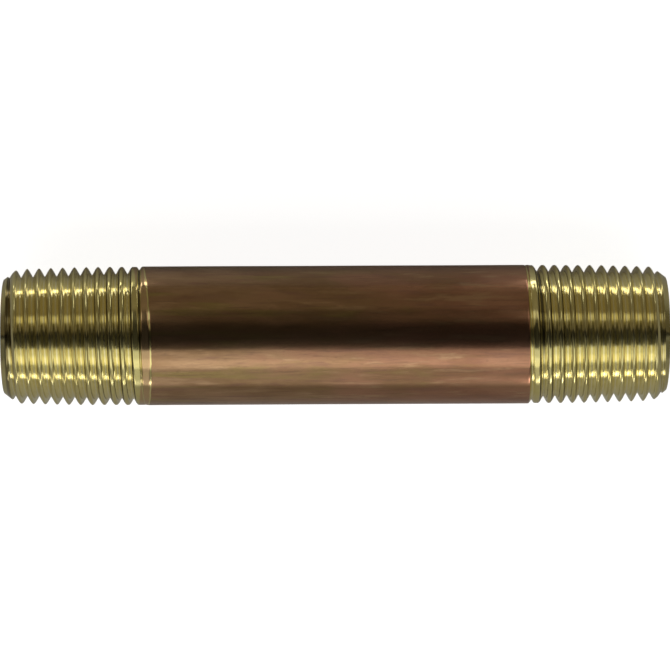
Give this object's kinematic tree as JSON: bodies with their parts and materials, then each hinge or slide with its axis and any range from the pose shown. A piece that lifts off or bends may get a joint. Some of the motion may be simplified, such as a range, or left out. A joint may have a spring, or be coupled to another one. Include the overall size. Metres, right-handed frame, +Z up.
{
  "type": "threaded pipe nipple",
  "caption": "Short straight length of round pipe with an open bore, a plain tarnished barrel, and a bright right-hand male taper pipe thread on each chamfered end.",
  "frame": {"origin": "on the pipe's axis, midway between the two end faces", "axes": "+X along the pipe's axis, from the left threaded end to the right one, +Z up, +Y away from the front"},
  "size_m": [0.1016, 0.0214, 0.0214],
  "materials": {
    "tarnished_barrel": "tarnished drawn surface, semi-gloss",
    "bright_thread": "freshly cut bright metal"
  },
  "bodies": {
    "root": {"barrel": "tarnished_barrel", "left_thread": "bright_thread", "right_thread": "bright_thread"}
  },
  "joints": []
}
